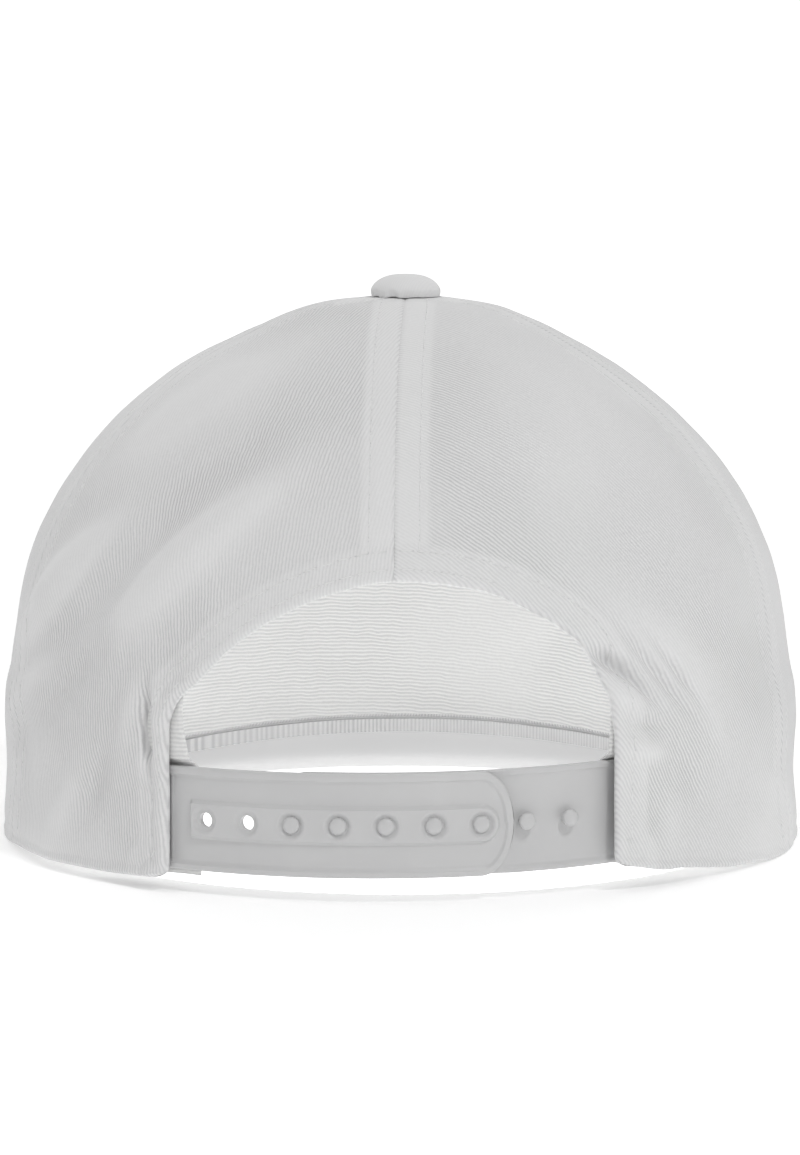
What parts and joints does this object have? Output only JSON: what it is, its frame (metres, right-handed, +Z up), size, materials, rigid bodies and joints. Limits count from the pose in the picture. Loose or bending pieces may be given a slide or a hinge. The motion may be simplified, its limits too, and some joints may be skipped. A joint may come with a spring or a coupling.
{
  "type": "five panel cap",
  "caption": "Soft white cloth cap with a peak, a covered button, a rear half-moon opening and a plastic snap strap across the back.",
  "frame": {"origin": "under the middle of the cap's whole outline, on the surface that it rests on", "axes": "+Z up, +Y from the snap strap at the back to the peak at the front, +X to the wearer's right"},
  "size_m": [0.171, 0.2694, 0.1197],
  "materials": {
    "crown_twill": "white cotton twill",
    "button_twill": "white cotton twill drawn over a button",
    "peak_twill": "white cotton twill over a stiff board",
    "sweatband_cloth": "white ribbed cotton band",
    "strap_plastic": "satin white moulded plastic"
  },
  "bodies": {
    "root": {"front_panel": "crown_twill", "side_panel_left": "crown_twill", "side_panel_right": "crown_twill", "back_panel_left": "crown_twill", "back_panel_right": "crown_twill", "button": "button_twill", "peak": "peak_twill", "sweatband": "sweatband_cloth", "snap_strap_holes": "strap_plastic", "snap_strap_pegs": "strap_plastic"}
  },
  "joints": []
}
